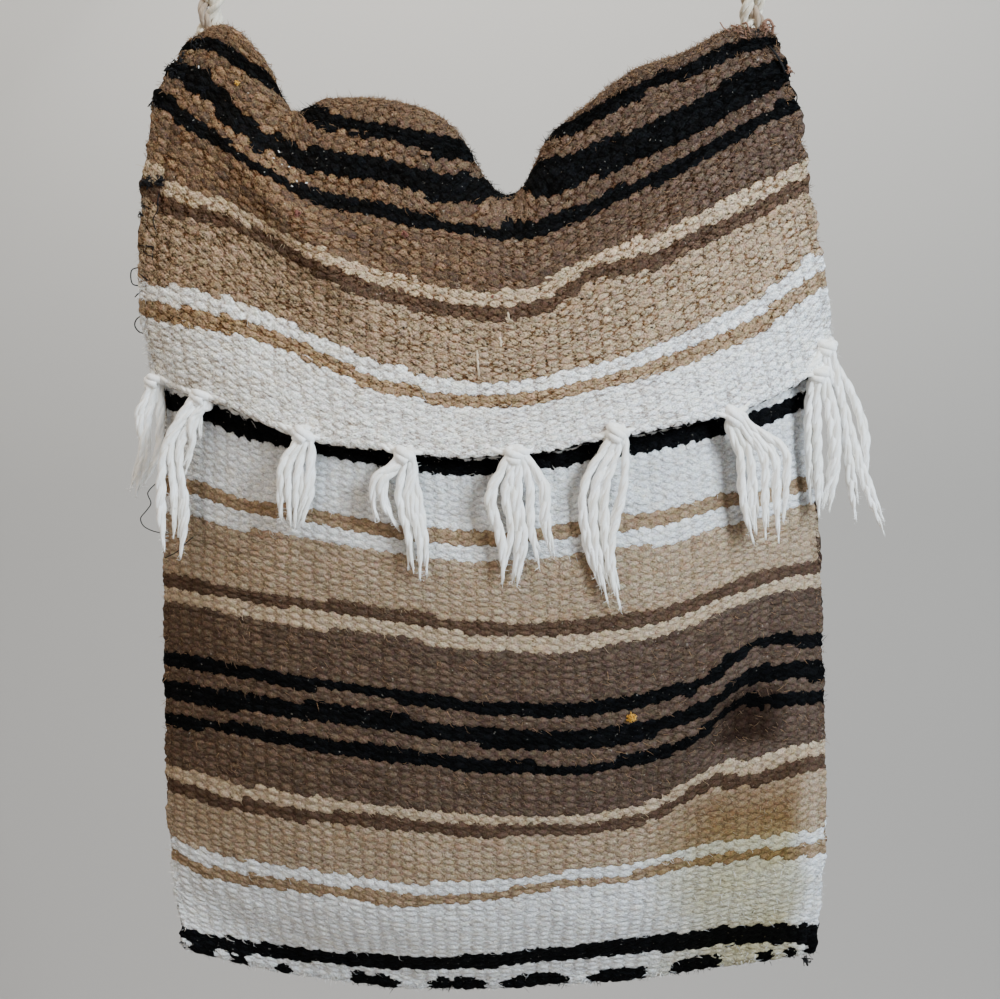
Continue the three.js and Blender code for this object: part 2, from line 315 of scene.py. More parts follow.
class Pile:
    """Shapes that are joined into one piece."""

    def __init__(self):
        self.points = []
        self.marks = []
        self.faces = []
        self.count = 0

    def add(self, points, faces, marks):
        self.points.append(points)
        self.marks.append(np.broadcast_to(marks, (len(points), 2)))
        self.faces.extend([[i + self.count for i in face] for face in faces])
        self.count += len(points)

    def tube(self, path, radius, sides, beside=(0, 1, 0), mark=None):
        """A closed round tube along a path, with a radius for each point or for all. Its UV is its length and
        its way round, unless a mark is given for the whole tube."""
        path = np.asarray(path, float)
        count = len(path)
        radius = np.broadcast_to(radius, count)
        first, second = ways_across(unit(np.gradient(path, axis=0)), beside)
        ring = rings(first, second, sides)
        points = (path[:, None] + radius[:, None, None] * ring).reshape(-1, 3)
        if mark is None:
            run = np.repeat(run_along(path), sides)
            mark = np.stack([run, np.tile(np.arange(sides) / sides, count)], axis=-1)
        a = np.arange((count - 1) * sides)
        b = a // sides * sides + (a + 1) % sides
        faces = np.stack([a, b, b + sides, a + sides], axis=-1).tolist()
        faces.append(list(range(sides))[::-1])
        faces.append(list(range((count - 1) * sides, count * sides)))
        self.add(points, faces, mark)

    def twisted(self, path, plies, ply, lay, pitch, sides, beside=(0, 1, 0), start=0.0, mark=None):
        """Yarn of a few plies twisted together along a path."""
        path = np.asarray(path, float)
        run = run_along(path)
        first, second = ways_across(unit(np.gradient(path, axis=0)), beside)
        lay = np.broadcast_to(lay, len(path))[:, None]
        for k in range(plies):
            turn = 2 * math.pi * (run / pitch + k / plies + start)
            offset = lay * (np.cos(turn)[:, None] * first + np.sin(turn)[:, None] * second)
            self.tube(path + offset, ply, sides, beside, mark)

    def spikes(self, roots, bends, tips, radius, marks):
        """Many fine pointed hairs, each from a root over a bend to a tip."""
        count = len(roots)
        first, second = ways_across(unit(tips - roots), ASKEW)
        ring = rings(first, second, 3) * radius[:, None, None]
        points = np.concatenate([roots[:, None] + ring, bends[:, None] + 0.75 * ring, tips[:, None]], axis=1)
        base = self.count + 7 * np.arange(count)[:, None]
        sides = [[0, 1, 4, 3], [1, 2, 5, 4], [2, 0, 3, 5]]
        ends = [[2, 1, 0], [3, 4, 6], [4, 5, 6], [5, 3, 6]]
        for face in sides + ends:
            self.faces.extend((base + np.array(face)).tolist())
        self.points.append(points.reshape(-1, 3))
        self.marks.append(np.repeat(marks, 7, axis=0))
        self.count += 7 * count

    def piece(self, name, finish):
        """The joined shapes as one smooth object that rides with the bag."""
        mesh = bpy.data.meshes.new(name)
        points = to_frame(np.concatenate(self.points))
        mesh.from_pydata(points.tolist(), [], self.faces)
        corners = np.zeros(len(mesh.loops), int)
        mesh.loops.foreach_get("vertex_index", corners)
        weave = mesh.uv_layers.new(name="weave")
        weave.data.foreach_set("uv", np.concatenate(self.marks)[corners].ravel())
        mesh.polygons.foreach_set("use_smooth", np.ones(len(mesh.polygons), bool))
        mesh.materials.append(finish)
        mesh.update()
        made = bpy.data.objects.new(name, mesh)
        bpy.context.collection.objects.link(made)
        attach(made, "root")
        return made


def through(points, step):
    """A smooth path through points, in even steps."""
    points = np.asarray(points, float)
    run = run_along(points)
    fine = np.linspace(0, run[-1], max(int(run[-1] / step * 4), 8))
    path = np.stack([smooth(run, points[:, k], fine) for k in range(3)], axis=-1)
    lengths = run_along(path)
    even = np.linspace(0, lengths[-1], max(int(round(lengths[-1] / step)), 3) + 1)
    return np.stack([np.interp(even, lengths, path[:, k]) for k in range(3)], axis=-1)


# Node materials

class Wire:
    """A value in a material's nodes, for use in sums."""

    def __init__(self, finish, socket):
        self.finish = finish
        self.socket = socket

    def __add__(self, other):
        return self.finish.maths("ADD", self, other)

    def __radd__(self, other):
        return self.finish.maths("ADD", other, self)

    def __sub__(self, other):
        return self.finish.maths("SUBTRACT", self, other)

    def __mul__(self, other):
        return self.finish.maths("MULTIPLY", self, other)

    def __truediv__(self, other):
        return self.finish.maths("DIVIDE", self, other)


class Finish:
    """A material made of nodes around one surface shader."""

    def __init__(self, name, roughness=0.95, sheen=0.0, specular=0.15):
        self.material = bpy.data.materials.new(name)
        self.material.use_nodes = True
        self.tree = self.material.node_tree
        self.tree.nodes.clear()
        self.shader = self.node("ShaderNodeBsdfPrincipled", {}, {
            "Roughness": roughness,
            "Sheen Weight": sheen,
            "Sheen Roughness": 0.6,
            "Specular IOR Level": specular,
        })
        self.node("ShaderNodeOutputMaterial", {}, {"Surface": self.shader.outputs["BSDF"]})

    def node(self, kind, settings, sockets):
        """A node of a kind, with its settings and then the values or links of its sockets."""
        made = self.tree.nodes.new(kind)
        for name, value in settings.items():
            if name == "stops":
                self.set_stops(made.color_ramp, value)
            else:
                setattr(made, name, value)
        for name, value in sockets.items():
            self.join(made.inputs[name], value)
        return made

    def set_stops(self, ramp, stops):
        ramp.interpolation = "CONSTANT"
        while len(ramp.elements) < len(stops):
            ramp.elements.new(1.0)
        for element, (place, colour) in zip(ramp.elements, stops):
            element.position = place
            element.color = colour

    def join(self, socket, value):
        if isinstance(value, Wire):
            value = value.socket
        if isinstance(value, bpy.types.NodeSocket):
            self.tree.links.new(value, socket)
        else:
            socket.default_value = value

    def maths(self, operation, *values):
        made = self.node("ShaderNodeMath", {"operation": operation}, dict(enumerate(values)))
        return Wire(self, made.outputs[0])

    def ramp(self, value, low, high, from_value=0.0, to_value=1.0):
        """A soft step between two values of a wire."""
        made = self.node("ShaderNodeMapRange", {"interpolation_type": "SMOOTHSTEP"}, {
            "Value": value, "From Min": low, "From Max": high, "To Min": from_value, "To Max": to_value})
        return Wire(self, made.outputs["Result"])

    def combine(self, x, y, z):
        return self.node("ShaderNodeCombineXYZ", {}, {"X": x, "Y": y, "Z": z}).outputs["Vector"]

    def noise(self, vector, scale, detail=2.0):
        made = self.node("ShaderNodeTexNoise", {}, {"Vector": vector, "Scale": scale, "Detail": detail})
        return Wire(self, made.outputs["Fac"])

    def tint(self, vector, scale):
        """Soft patches of every colour."""
        made = self.node("ShaderNodeTexNoise", {}, {"Vector": vector, "Scale": scale, "Detail": 2.0})
        return made.outputs["Color"]

    def lightness(self, colour):
        return Wire(self, self.node("ShaderNodeRGBToBW", {}, {"Color": colour}).outputs["Val"])

    def chance(self, vector):
        """A random number for each place."""
        return Wire(self, self.node("ShaderNodeTexWhiteNoise", {}, {"Vector": vector}).outputs["Value"])

    def mix(self, share, colour, other, blend="MIX"):
        settings = {"data_type": "RGBA", "blend_type": blend}
        made = self.node("ShaderNodeMix", settings, {"Factor": share, 6: colour, 7: other})
        return made.outputs[2]

    def scale(self, colour, amount):
        made = self.node("ShaderNodeVectorMath", {"operation": "SCALE"}, {0: colour, "Scale": amount})
        return made.outputs["Vector"]

    def paint(self, colour):
        self.join(self.shader.inputs["Base Color"], colour)

    def bump(self, height, strength, distance):
        made = self.node("ShaderNodeBump", {}, {"Height": height, "Strength": strength, "Distance": distance})
        self.join(self.shader.inputs["Normal"], made.outputs["Normal"])

    def weave(self):
        """Where a point lies in the weave: its warp and its pick."""
        spot = self.node("ShaderNodeUVMap", {"uv_map": "weave"}, {})
        split = self.node("ShaderNodeSeparateXYZ", {}, {"Vector": spot.outputs["UV"]})
        return Wire(self, split.outputs["X"]), Wire(self, split.outputs["Y"])

    def slip(self):
        """How many picks the stripes have slipped at a point, and how that changes by warp and pick."""
        made = self.node("ShaderNodeAttribute", {"attribute_name": "slip"}, {})
        parts = self.node("ShaderNodeSeparateXYZ", {}, {"Vector": made.outputs["Vector"]})
        return [Wire(self, parts.outputs[axis]) for axis in "XYZ"]

    def place(self):
        """Where a point lies on the bag."""
        spot = self.node("ShaderNodeTexCoord", {}, {})
        split = self.node("ShaderNodeSeparateXYZ", {}, {"Vector": spot.outputs["Object"]})
        return spot.outputs["Object"], [Wire(self, split.outputs[axis]) for axis in "XYZ"]


def srgb(red, green, blue):
    """A colour given in screen values from 0 to 255."""
    def linear(value):
        share = value / 255
        return share / 12.92 if share <= 0.04045 else ((share + 0.055) / 1.055) ** 2.4
    return (linear(red), linear(green), linear(blue), 1.0)


# Yarn colours: the main shade, the fleck that is carded into it, and the warmer shade towards the left,
# partly the yarn's own tone and partly painted warm light
BLACK = (srgb(5, 6, 7), srgb(12, 13, 15), srgb(16, 14, 11))
WHITE = (srgb(229, 233, 240), srgb(210, 211, 210), srgb(226, 219, 206))
CREAM = (srgb(198, 181, 157), srgb(154, 134, 112), srgb(178, 154, 122))
TAN = (srgb(188, 171, 148), srgb(136, 114, 93), srgb(108, 86, 60))
DARK_TAN = (srgb(172, 150, 124), srgb(124, 104, 83), srgb(150, 122, 88))
BROWN = (srgb(106, 90, 79), srgb(60, 48, 41), srgb(152, 121, 90))
DARK_BROWN = (srgb(104, 84, 70), srgb(62, 48, 39), srgb(92, 70, 52))

# Stripes from one mirror line to the next: the pick at which each starts, and its yarn
STRIPES = [
    (0, BLACK), (2.0, WHITE), (4.5, BLACK), (9.2, WHITE), (26.5, DARK_TAN), (30.5, WHITE), (34.5, TAN),
    (50.5, DARK_BROWN), (54.5, CREAM), (58.5, BROWN), (72.5, BLACK), (76.5, BROWN), (80.5, BLACK),
]


def stripe_colours(finish, pick):
    """The main shade, the fleck and the warmer left-side shade of the yarn at a pick."""
    repeat = HALF_REPEAT / PICK
    place = finish.maths("PINGPONG", pick, repeat) / repeat
    shades = []
    for k in range(3):
        stops = [(start / repeat, yarn[k]) for start, yarn in STRIPES]
        shades.append(finish.node("ShaderNodeValToRGB", {"stops": stops}, {"Fac": place}).outputs["Color"])
    return shades


def bead_nodes(finish, warp, pick):
    """The beads of the weft in nodes: the height at a point, and its bead's warp, pick and luck."""
    families = []
    for bead in (PROUD_BEAD, SUNK_BEAD):
        column = (warp - bead["warp"]) * 0.5
        row = (pick - bead["pick"]) * 0.5
        middle_column = finish.maths("ROUND", column)
        middle_row = finish.maths("ROUND", row)
        long = finish.maths("ABSOLUTE", column - middle_column) / bead["long"]
        tall = (row - middle_row) / bead["tall"]
        bead_warp = middle_column * 2 + bead["warp"]
        bead_pick = middle_row * 2 + bead["pick"]
        luck = finish.chance(finish.combine(bead_warp, bead_pick, 0.0))
        top = (luck - 0.5) * 0.5 + bead["top"]
        height = top - finish.maths("POWER", long, 2.4) - tall * tall
        families.append((height, bead_warp, bead_pick, luck))
    ahead, behind = families
    over = finish.maths("GREATER_THAN", ahead[0], behind[0])
    height = finish.maths("SMOOTH_MAX", ahead[0], behind[0], 0.25)
    return [height] + [b + over * (a - b) for a, b in zip(ahead[1:], behind[1:])]


PIT_SHADE = srgb(140, 116, 94)      # the painted shade that the pits between the beads take


def yarn_stray(finish, warp, pick, layer, soft, fine):
    """How far a point's yarn strays from an even weave: softly over a few beads, and finely by its fibres."""
    wander = finish.combine(warp * 0.4, pick * 0.4, layer)
    fibres = finish.combine(warp * 2.4, pick * 2.0, layer + 3.0)
    return (finish.noise(wander, 1.0, 1.0) - 0.5) * soft + (finish.noise(fibres, 1.0, 2.0) - 0.5) * fine


def stain_and_shade(finish, colour, pick, where, x, z):
    """Painted shade at the bottom fold and above a yellow stain low on the front's right."""
    # Painted shade on the bottom fold's underside: the lowest picks darken.
    colour = finish.scale(colour, finish.ramp(pick, -2.5, 2.5, 0.7, 1.0))
    blot = finish.noise(where, 38.0, 3.0)
    spread = (blot - 0.5) * 0.022
    in_x = finish.ramp(x + spread, 0.06, 0.1) * finish.ramp(x + spread, 0.15, 0.135)
    in_z = finish.ramp(z + spread, -0.606, -0.645)
    yellow = finish.mix(finish.ramp(z, -0.66, -0.635), srgb(195, 184, 147), srgb(168, 146, 117))
    colour = finish.mix(in_x * in_z * (0.55 + blot * 0.7), colour, yellow, "MULTIPLY")
    # A patch of painted shade above the yellow stain.
    in_x = finish.ramp(x + spread, 0.08, 0.108) * finish.ramp(x + spread, 0.14, 0.122)
    in_z = finish.ramp(z, -0.614, -0.604) * finish.ramp(z, -0.574, -0.592)
    return finish.mix(in_x * in_z * 0.9, colour, srgb(128, 112, 102), "MULTIPLY")


def cloth_finish(name, contrast, painted_light_gain, left_warmth, stained_and_shaded):
    """Weft-faced wool: staggered beads of heathered yarn, each in its stripe's shade, with painted shade
    in the pits between them. Towards the left it is warmer: partly its own tone, partly painted warm light."""
    finish = Finish(name, roughness=0.95, specular=0.05)
    warp, pick = finish.weave()
    where, (x, _, z) = finish.place()
    aside = yarn_stray(finish, warp, pick, 0.0, 0.7, 1.2)
    above = yarn_stray(finish, warp, pick, 9.0, 0.3, 0.9)
    height, bead_warp, bead_pick, luck = bead_nodes(finish, warp + aside, pick + above)
    slip, by_warp, by_pick = finish.slip()
    bead_slip = slip - by_warp * (warp - bead_warp) - by_pick * (pick - bead_pick)
    main, fleck, warm_left = stripe_colours(finish, bead_pick - bead_slip)
    along_yarn = finish.combine(warp * 0.95 - pick * 0.3, warp * 2.1 + pick * 2.0, bead_pick * 3.1)
    across_yarn = finish.combine(warp * 0.9 + pick * 0.35, warp * 2.4 - pick * 2.6, bead_pick * 1.7)
    strands = finish.noise(along_yarn, 1.0, 3.0) * 0.6 + finish.noise(across_yarn, 1.0, 3.0) * 0.4
    grain = finish.noise(where, 1300.0, 2.0)
    patches = finish.noise(finish.combine(warp * 0.1, bead_pick * 1.37, 0.0), 1.0, 1.0)
    card = finish.ramp(strands * 0.7 + luck * 0.12 + patches * 0.18, 0.36, 0.64)
    # The yarn turns warmer towards the left: partly its own tone, partly painted warm light.
    leftness = finish.ramp(x + finish.noise(where, 30.0, 2.0) * 0.08, 0.16, -0.1)
    main = finish.mix(leftness * left_warmth, main, warm_left)
    colour = finish.mix(card, main, fleck)
    colour = finish.mix(0.25, colour, finish.tint(where, 520.0), "SOFT_LIGHT")
    golden = finish.ramp(finish.noise(where, 240.0, 2.0), 0.45, 0.7)
    colour = finish.mix(golden * 0.25, colour, srgb(255, 236, 202), "MULTIPLY")
    lint = finish.ramp(finish.noise(where, 650.0, 1.0), 0.73, 0.77)
    colour = finish.mix(lint * 0.15, colour, srgb(205, 200, 190))
    # Painted shade in the pits between the beads, darker in some pits than in others.
    pit_shade_wander = finish.noise(finish.combine(warp * 0.35, pick * 0.35, 4.0), 1.0, 2.0)
    pits = height + (pit_shade_wander - 0.5) * 0.8 + (strands - 0.5) * 0.8
    strength = finish.ramp(finish.lightness(main), 0.5, 0.75, contrast, contrast * 0.65)
    depth = finish.ramp(pits, 0.75, -0.3, 0.0, 0.62) * strength
    fibre_shade = (strands - 0.5) * 2.6 + (grain - 0.5) * 1.4
    shade = 1 + (luck - 0.5) * 0.12 + (patches - 0.5) * 0.4 + fibre_shade * strength
    colour = finish.mix(depth, colour, PIT_SHADE, "MULTIPLY")
    # Brightness that stands in for light: the flap is painted brighter than the front.
    colour = finish.scale(colour, shade * painted_light_gain)
    # The front gets its yellow stain and its painted shade.
    if stained_and_shaded:
        colour = stain_and_shade(finish, colour, pick, where, x, z)
    finish.paint(colour)
    finish.bump(height * 0.7 + strands * 1.4 + grain * 0.6, 0.9, 0.0009)
    return finish.material


def fuzz_finish():
    """Loose wool hairs, each in the shade of the yarn it stands on."""
    finish = Finish("loose_wool_hairs", roughness=0.95, specular=0.05)
    warp, pick = finish.weave()
    luck = finish.chance(finish.combine(warp, pick, 3.0))
    main, _, warm_left = stripe_colours(finish, pick)
    colour = finish.mix(luck, main, warm_left)
    colour = finish.scale(colour, 0.75 + luck * 0.6)
    finish.paint(colour)
    return finish.material


def yarn_finish(name, shade, fleck, brown=None):
    """Plied wool yarn with streaks along it. A strand whose mark is 1 takes the brown."""
    finish = Finish(name, roughness=0.92, sheen=0.5)
    _, pick = finish.weave()
    where, (x, y, z) = finish.place()
    streaks = finish.noise(finish.combine(x * 5, y * 5, z), 220.0, 3.0)
    patches = finish.noise(where, 110.0, 2.0)
    share = finish.ramp(streaks * 0.5 + patches * 0.5, 0.38, 0.62)
    colour = finish.mix(share, shade, fleck)
    if brown is not None:
        colour = finish.mix(pick, colour, finish.mix(share, brown[0], brown[1]))
    finish.paint(colour)
    finish.bump(streaks, 0.4, 0.0005)
    return finish.material


def thread_finish(name, dark, light):
    """Thin thread or loose wool in one shade."""
    finish = Finish(name, roughness=0.85, specular=0.25)
    where, _ = finish.place()
    streaks = finish.noise(where, 1400.0, 2.0)
    colour = finish.mix(streaks, dark, light)
    finish.paint(colour)
    finish.bump(streaks, 0.3, 0.0003)
    return finish.material


# Camera, at the photograph's angle

PICTURE = 36.0                # width of the camera's picture plane
FOCAL = 1.53846               # focal length in widths of the picture
CAMERA_PLACE = (0.0032, -0.6948, -0.4171)
CAMERA_TILT = math.radians(83)


def place_camera():
    data = bpy.data.cameras.new("camera")
    data.sensor_width = PICTURE
    data.lens = PICTURE * FOCAL
    camera = bpy.data.objects.new("camera", data)
    bpy.context.collection.objects.link(camera)
    camera.location = CAMERA_PLACE
    camera.rotation_euler = (CAMERA_TILT, 0, 0)
    bpy.context.scene.camera = camera


# The strap: a three-strand braid from behind the left corner, over the hang point, to behind the right corner

STRAP_ROUTE = [
    (-127, 11.8, -32), (-127, 11.7, -16), (-126.5, 11.3, 0), (-124, 10, 18), (-118, 8, 45), (-108, 5, 90),
    (-97, 3, 140), (-86, 1, 190), (-74, 0, 235), (-56, 0, 270), (-30, 0, 293), (0, 0, 300),
    (30, 0, 293), (56, 0, 270), (74, 0, 235), (86, 1, 190), (96, 3, 140), (105, 5, 90),
    (113, 8, 45), (115, 10, 18), (115.5, 11.3, 0), (115.5, 11.7, -16), (115, 11.8, -32),
]
BRAID_PITCH = 34.0            # length in which the braid repeats
STRAND_PITCH = 21.0           # length in which the yarns of a strand turn once
STRAND = 2.65                 # radius of one strand of the braid
YARN = 1.3                    # radius of one yarn in a strand


def make_strap(finish):
    path = through(STRAP_ROUTE, 1.5)
    run = np.arange(len(path)) * np.linalg.norm(path[1] - path[0])
    sideways, outwards = ways_across(unit(np.gradient(path, axis=0)), (0, 1, 0))
    pile = Pile()
    for k in range(3):
        turn = 2 * math.pi * (run / BRAID_PITCH + k / 3)
        swing = (STRAP / 2 - STRAND) * np.sin(turn)
        lift = 0.62 * STRAND * np.sin(2 * turn)
        strand = path + swing[:, None] * sideways + lift[:, None] * outwards
        brown = float(k == 0)
        pile.twisted(strand, 3, YARN, STRAND - YARN, STRAND_PITCH, 6, start=0.21 * k, mark=(k, brown))
    strap = pile.piece("braided_strap", finish)
    route = to_frame(path)
    path = [tuple(point) for point in route[::4]] + [tuple(route[-1])]
    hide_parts("strap")


# The woven cloth

ROLLED = 1.2                  # warps or picks by which an edge rolls past the end of the weave
ROLL_TURN = math.radians(120)


def lattice(first, fine_until, last):
    """Rows of the weave: two to a pick where the weave is seen close, then one."""
    return np.concatenate([np.arange(first, fine_until, 0.5), np.arange(fine_until, last + 0.01, 1.0)])


def with_edges(places):
    """Warps or picks, with two more past each end for the rolled edge."""
    before = places[0] - np.array([ROLLED, ROLLED / 2])
    after = places[-1] + np.array([ROLLED / 2, ROLLED])
    return np.concatenate([before, places, after])


def edge_turn(value, first, last):
    """How far the cloth has turned over at a warp or pick past the first or the last."""
    past = np.maximum(first - value, 0) + np.maximum(value - last, 0)
    return past / ROLLED * ROLL_TURN


def grid_faces(start, tall, wide, flip):
    """Faces over a grid of points that are numbered from a start."""
    a = start + (np.arange(tall - 1)[:, None] * wide + np.arange(wide - 1)).ravel()
    b = a + wide
    corners = [a, b, b + 1, a + 1] if flip else [a, a + 1, b + 1, b]
    return np.stack(corners, axis=-1).tolist()


def stitch(faces, outer, inner, flip):
    """Faces that join a fine edge to a coarse one."""
    marks = np.round(np.linspace(0, len(outer) - 1, len(inner))).astype(int)
    for j in range(len(inner) - 1):
        face = list(outer[marks[j]:marks[j + 1] + 1]) + [inner[j + 1], inner[j]]
        faces.append(face[::-1] if flip else face)


def bead_relief(warp, pick, seed):
    """How far the beads of weft stand above or below the cloth's face."""
    tops = []
    for k, bead in enumerate((PROUD_BEAD, SUNK_BEAD)):
        column = (warp - bead["warp"]) / 2
        row = (pick - bead["pick"]) / 2
        long = np.abs(column - np.round(column)) / bead["long"]
        tall = (row - np.round(row)) / bead["tall"]
        luck = speckle(seed + k, np.round(column), np.round(row)) - 0.5
        tops.append(bead["top"] + 0.5 * luck - long ** 2.4 - tall ** 2)
    beads = np.clip(np.maximum(*tops), -0.3, 1.2) - 0.4
    slub = 1 + 0.3 * drift(seed + 2, warp, pick, 9, 2)
    swell = 0.5 * drift(seed + 3, warp, pick, 8, 14) + 0.3 * drift(seed + 4, warp, pick, 3, 5)
    rough = 0.3 * drift(seed + 5, warp, pick, 0.6, 0.6)
    return RELIEF * beads * slub + swell + rough


def slip_and_change(fit, warp, pick):
    """How many picks the stripes slip at each point, and how that changes by warp and pick."""
    slip = fit(warp, pick)[1]
    by_warp = np.clip(fit(warp + 0.5, pick)[1] - fit(warp - 0.5, pick)[1], -0.6, 0.6)
    by_pick = np.clip(fit(warp, pick + 0.5)[1] - fit(warp, pick - 0.5)[1], -0.9, 0.9)
    return np.stack([slip, by_warp, by_pick], axis=-1).reshape(-1, 3)


def outer_face(panel, warp, pick, first, last, seed, fit):
    """The cloth's outer face, with every bead of its weft and with its edges turned over."""
    side_turn = edge_turn(warp, 0, WARPS)
    end_turn = edge_turn(pick, first, last)
    calm = np.clip(np.minimum(pick - first, last - pick) / 6, 0.15, 1)
    shift_across = 0.7 * drift(seed + 5, warp, pick, 2.5, 5)
    shift_woven = (0.8 * drift(seed + 6, warp, pick, 7, 4) + 0.35 * drift(seed + 7, warp, pick, 2, 3)) * calm
    across = np.clip(EDGE + (1 - 2 * EDGE) * warp / WARPS + shift_across / (2 * HALF_WIDTH), EDGE, 1 - EDGE)
    woven = np.clip(pick, first, last) * PICK + shift_woven
    place, normal, sideways, upward = panel.on_weave(across, woven)
    depth, _ = fit(warp, pick)
    relief = bead_relief(warp, pick, seed) - depth
    side_sign = np.where(warp < 0, -1.0, 1.0)
    end_sign = np.where(pick < first, -1.0, 1.0)
    flat = np.cos(side_turn) * np.cos(end_turn)
    to_side = np.sin(side_turn) * side_sign
    to_end = np.sin(end_turn) * end_sign * np.cos(side_turn)
    lean = flat[..., None] * normal + to_side[..., None] * sideways + to_end[..., None] * upward
    right = warp > WARPS / 2
    lumps = 1.4 * drift(seed + 8, right, pick, 1, 4) + 0.9 * drift(seed + 9, right, pick, 1, 1.6)
    from_side = np.minimum(warp, WARPS - warp)
    push = lumps * np.exp(-np.maximum(from_side, 0) / 2.5) * np.where(warp < WARPS / 2, -1, 1) * calm
    return place + (CLOTH / 2 + relief)[..., None] * lean + push[..., None] * sideways


def woven_piece(name, panel, picks, seed, finish, fit):
    """A wall of cloth with a beaded outer face, rolled edges and a plain inner face."""
    warp, pick = np.meshgrid(with_edges(np.arange(2 * WARPS + 1) / 2), with_edges(picks))
    outer = outer_face(panel, warp, pick, picks[0], picks[-1], seed, fit)
    inner_warps = np.linspace(0, WARPS, WARPS // 4 + 1)
    inner_picks = picks[np.round(np.linspace(0, len(picks) - 1, len(picks) // 4)).astype(int)]
    inner_warp, inner_pick = np.meshgrid(inner_warps, inner_picks)
    middle, normal, _, _ = panel.on_weave(inner_warp / WARPS, inner_pick * PICK)
    inner = middle - CLOTH / 2 * normal
    faces = grid_faces(0, *warp.shape, False) + grid_faces(warp.size, *inner_warp.shape, True)
    outer_index = np.arange(warp.size).reshape(warp.shape)
    inner_index = warp.size + np.arange(inner_warp.size).reshape(inner_warp.shape)
    stitch(faces, outer_index[0], inner_index[0], True)
    stitch(faces, outer_index[-1], inner_index[-1], False)
    stitch(faces, outer_index[:, 0], inner_index[:, 0], False)
    stitch(faces, outer_index[:, -1], inner_index[:, -1], True)
    points = np.concatenate([outer.reshape(-1, 3), inner.reshape(-1, 3)])
    marks = np.concatenate([
        np.stack([warp, pick], axis=-1).reshape(-1, 2),
        np.stack([inner_warp, inner_pick], axis=-1).reshape(-1, 2),
    ])
    slips = np.concatenate([
        slip_and_change(fit, warp, pick),
        slip_and_change(fit, inner_warp, inner_pick),
    ])
    pile = Pile()
    pile.add(points, faces, marks)
    made = pile.piece(name, finish)
    kept = made.data.attributes.new(name="slip", type="FLOAT_VECTOR", domain="POINT")
    kept.data.foreach_set("vector", slips.ravel())
    return made


STRIP_PICKS = lattice(10.5, 104, 331)
FRONT_PICKS = lattice(-3, 166, 219)


def seam_warp(pick):
    """The warp on which the line of stitches inside the flap's left edge runs."""
    return 2.2 + 1.1 * np.clip((pick - 50) / 25, 0, 1)


# Tugs: where the stripes are drawn up from an even lay, or down if below 0, each by its middle and its reach
TUG_COLUMNS = "across wide woven tall drawn"
FLAP_TUGS = records(
    TUG_COLUMNS,
    (0.17, 0.15, 70, 34, 7.5),
    (0.22, 0.09, 92, 14, 3),
    (0.24, 0.13, 54, 16, 3.5),
    (0.25, 0.15, 67, 6, -2.8),
    (0.54, 0.19, 57, 5, -2),
    (0.21, 0.08, 88, 6, 2),
    (0.16, 0.08, 130, 12, -8),
    (0.14, 0.06, 143, 8, 3),
    (0.36, 0.12, 153, 7, -2.5),
    (0.38, 0.20, 121, 9, -2),
    (0.40, 0.13, 138.5, 4, -3.5),
    (0.50, 0.07, 134, 16, -4),
    (0.67, 0.08, 92, 20, 7),
    (0.80, 0.12, 147, 12, 3),
    (0.80, 0.14, 126, 14, -4.5),
    (0.80, 0.10, 90, 14, 2.5),
    (0.95, 0.10, 124, 7, -3),
    (0.87, 0.17, 110, 7, -2.6),
    (0.98, 0.05, 60, 40, 4),
)
FRONT_TUGS = records(
    TUG_COLUMNS,
    (0.58, 0.42, 55, 36, 17),
    (0.25, 0.12, 55, 22, 4),
    (0.76, 0.18, 52, 24, 11.5),
    (0.60, 0.45, 18, 8, 3),
    (0.00, 0.15, 8, 18, -7),
    (1.00, 0.06, 8, 18, -5),
    (0.80, 0.07, 100, 20, 11),
    (0.85, 0.05, 126, 14, 6),
    (0.42, 0.35, 92, 14, 3.5),
    (0.97, 0.09, 95, 22, 7),
    (0.88, 0.05, 150, 10, 5),
    (0.80, 0.035, 147, 9, -2.5),
    (0.97, 0.06, 150, 10, 2),
    (0.30, 0.14, 130, 40, 3),
    (0.35, 0.20, 181, 14, 2.5),
    (0.45, 0.50, 228, 24, 5),
)


def drawn_up(tugs, warp, pick):
    """How many picks the stripes are drawn up by the tugs."""
    slip = np.zeros_like(warp)
    for tug in tugs:
        aside = (warp / WARPS - tug["across"]) / tug["wide"]
        above = (pick * PICK - tug["woven"]) / tug["tall"]
        slip = slip + tug["drawn"] * np.exp(-aside ** 2 - above ** 2)
    return slip / PICK


LAST_WHITE = 3.5              # a pick in the white between the two lowest black stripes

# Stretches of the bottom fold where its last black stripe shows
HEM_BLACKS = records(
    "middle half_long",
    (0.090, 0.009),
    (0.155, 0.012),
    (0.210, 0.009),
    (0.304, 0.037),
    (0.432, 0.044),
    (0.555, 0.050),
    (0.690, 0.043),
    (0.817, 0.039),
    (0.921, 0.013),
    (0.972, 0.024),
)


def hem_black(across):
    """How much of the last black stripe shows at the bottom fold: 1 on its stretches and 0 between them."""
    shown = np.zeros_like(across)
    for row in HEM_BLACKS:
        inside = row["half_long"] - np.abs(across - row["middle"])
        shown = np.maximum(shown, np.clip(inside / 0.03 + 0.5, 0, 1))
    return shown


def front_lay(warp, pick):
    """How deep the front is drawn in, which is nowhere, and how far its stripes slip: by the tugs, and
    unevenly where it rolls round the bottom fold."""
    ragged = 1.7 * drift(21, warp, np.zeros_like(warp), 1.9, 1)
    wander = ragged * np.clip((5 - pick) / 4, 0, 1)
    rolled = -5.4 * np.clip((1.2 - pick) / 4.2, 0, 1)
    pattern = pick - drawn_up(FRONT_TUGS, warp, pick) - wander - rolled
    hidden = 1 - hem_black(warp / WARPS)
    pattern = pattern + hidden * np.clip(LAST_WHITE - pattern, 0, 9)
    return 0, pick - pattern


